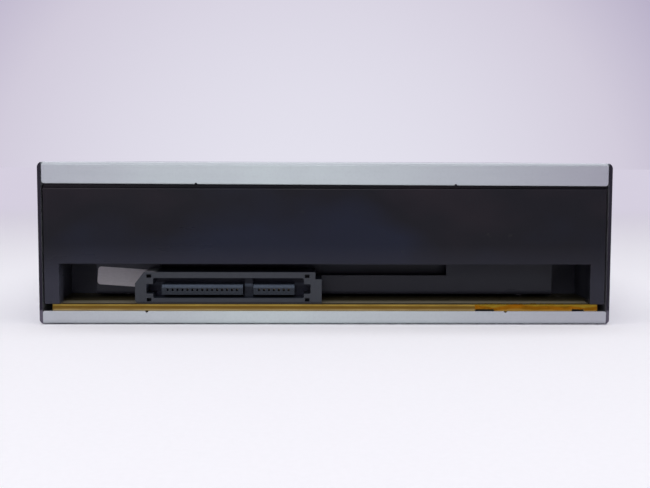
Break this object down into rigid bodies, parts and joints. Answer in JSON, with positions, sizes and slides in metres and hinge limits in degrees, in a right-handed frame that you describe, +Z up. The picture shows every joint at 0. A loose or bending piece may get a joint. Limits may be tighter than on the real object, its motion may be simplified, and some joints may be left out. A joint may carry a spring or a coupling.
{
  "type": "optical disc drive",
  "caption": "Half-height optical disc writer: folded steel case, black chassis, sliding disc tray, lifting traverse with spindle and pickup, and a combined data and power plug at the rear.",
  "frame": {"origin": "centre of the bounding box in plan, on the underside of the base", "axes": "+X to the right seen from the front, +Y from the front bezel to the connector end, +Z up"},
  "size_m": [0.148, 0.176, 0.0413],
  "materials": {
    "zinc_steel": "satin zinc-coated sheet",
    "black_abs": "fine-grained black moulding",
    "bezel_black": "fine-grained black front moulding",
    "button_black": "smooth black moulding",
    "clear_lens": "clear moulded light pipe",
    "white_pom": "white low-friction moulding",
    "grey_pom": "dark grey moulding",
    "belt_rubber": "black rubber",
    "ring_rubber": "dark rubber friction ring",
    "motor_steel": "plated steel can",
    "rod_steel": "ground bright steel",
    "plate_steel": "zinc-coated plate",
    "copper_coil": "lacquered copper winding",
    "cast_alloy": "die-cast alloy",
    "lens_glass": "coated lens",
    "magnet_grey": "sintered magnet",
    "board_green": "glass-fibre circuit board",
    "connector_black": "dark blue-grey connector moulding",
    "contact_gold": "gold-plated contact",
    "chip_black": "moulded chip package",
    "capacitor_can": "aluminium can",
    "socket_white": "off-white socket moulding",
    "lamp_clear": "clear lamp body"
  },
  "bodies": {
    "case": {"top_cover": "zinc_steel", "bottom_cover": "zinc_steel", "main_chassis": "black_abs", "front_bezel": "bezel_black", "led_lens": "clear_lens", "loading_motor": "motor_steel", "drive_belt": "belt_rubber", "clamper_bridge": "plate_steel", "main_pcb": "board_green", "sata_connector": "connector_black", "sata_contacts": "contact_gold", "pcb_chips": "chip_black", "pcb_capacitors": "capacitor_can", "pcb_sockets": "socket_white", "front_pcb": "board_green", "eject_switch": "grey_pom", "status_led": "lamp_clear", "tray_switch": "grey_pom"},
    "tray": {"disc_tray": "black_abs", "tray_bezel": "bezel_black"},
    "button": {"eject_button": "button_black"},
    "drive_gear": {"tray_drive_gear": "white_pom"},
    "pulley": {"pulley_gear": "white_pom"},
    "motor_rotor": {"motor_pulley": "white_pom"},
    "cam": {"cam_slider": "grey_pom"},
    "traverse": {"traverse_frame": "grey_pom", "spindle_base": "plate_steel", "spindle_stator": "copper_coil", "main_guide_rod": "rod_steel", "sub_guide_rod": "rod_steel", "feed_motor": "motor_steel"},
    "spindle": {"turntable": "motor_steel", "turntable_ring": "ring_rubber"},
    "screw": {"lead_screw": "rod_steel"},
    "pickup": {"pickup_body": "cast_alloy", "pickup_cover": "plate_steel", "feed_nut": "white_pom"},
    "lens": {"lens_holder": "black_abs", "objective_lens": "lens_glass"},
    "clamper": {"clamper_disc": "white_pom", "clamper_cap": "white_pom", "clamper_magnet": "magnet_grey"}
  },
  "joints": [
    {"name": "tray_slide", "type": "slide", "parent": "case", "child": "tray", "axis": [0, -1, 0], "range_m": [0, 0.136]},
    {"name": "tray_gear_spin", "type": "hinge", "parent": "case", "child": "drive_gear", "pos_m": [-0.044, -0.066, 0.014], "axis": [0, 0, 1], "range_deg": [-2, 976]},
    {"name": "pulley_spin", "type": "hinge", "parent": "case", "child": "pulley", "pos_m": [-0.026, -0.066, 0.014], "axis": [0, 0, 1], "range_deg": [-3202.4, 2]},
    {"name": "motor_spin", "type": "hinge", "parent": "case", "child": "motor_rotor", "pos_m": [0.008, -0.066, 0.014], "axis": [0, 0, 1], "range_deg": [-10784.8, 2]},
    {"name": "cam_slide", "type": "slide", "parent": "case", "child": "cam", "axis": [-1, 0, 0], "range_m": [0, 0.022]},
    {"name": "traverse_tilt", "type": "hinge", "parent": "case", "child": "traverse", "pos_m": [0, 0.064, 0.016], "axis": [-1, 0, 0], "range_deg": [0, 5.5]},
    {"name": "spindle_spin", "type": "hinge", "parent": "traverse", "child": "spindle", "pos_m": [0, -0.01402, 0.01251], "axis": [0, -0.0958, 0.9954], "continuous": true},
    {"name": "sled_slide", "type": "slide", "parent": "traverse", "child": "pickup", "axis": [0, 0.9954, 0.0958], "range_m": [0, 0.037]},
    {"name": "lead_screw_spin", "type": "hinge", "parent": "traverse", "child": "screw", "pos_m": [-0.035, 0.0202, 0.01178], "axis": [0, 0.9954, 0.0958], "range_deg": [-2, 4442]},
    {"name": "lens_focus", "type": "slide", "parent": "pickup", "child": "lens", "axis": [0, -0.0958, 0.9954], "range_m": [0, 0.0008], "stiffness_N_per_m": 60},
    {"name": "clamper_spin", "type": "hinge", "parent": "case", "child": "clamper", "pos_m": [0, -0.014, 0.032], "axis": [0, 0, 1], "continuous": true},
    {"name": "eject_press", "type": "slide", "parent": "case", "child": "button", "axis": [0, 1, 0], "range_m": [0, 0.0008], "stiffness_N_per_m": 1200}
  ],
  "couplings": [
    {"joint": "tray_gear_spin", "follows": "tray_slide", "rad_per_m": 125},
    {"joint": "pulley_spin", "follows": "tray_slide", "rad_per_m": -410.71},
    {"joint": "motor_spin", "follows": "tray_slide", "rad_per_m": -1383.8},
    {"joint": "traverse_tilt", "follows": "cam_slide", "rad_per_m": 4.3633},
    {"joint": "lead_screw_spin", "follows": "sled_slide", "rad_per_m": 2094.4}
  ]
}
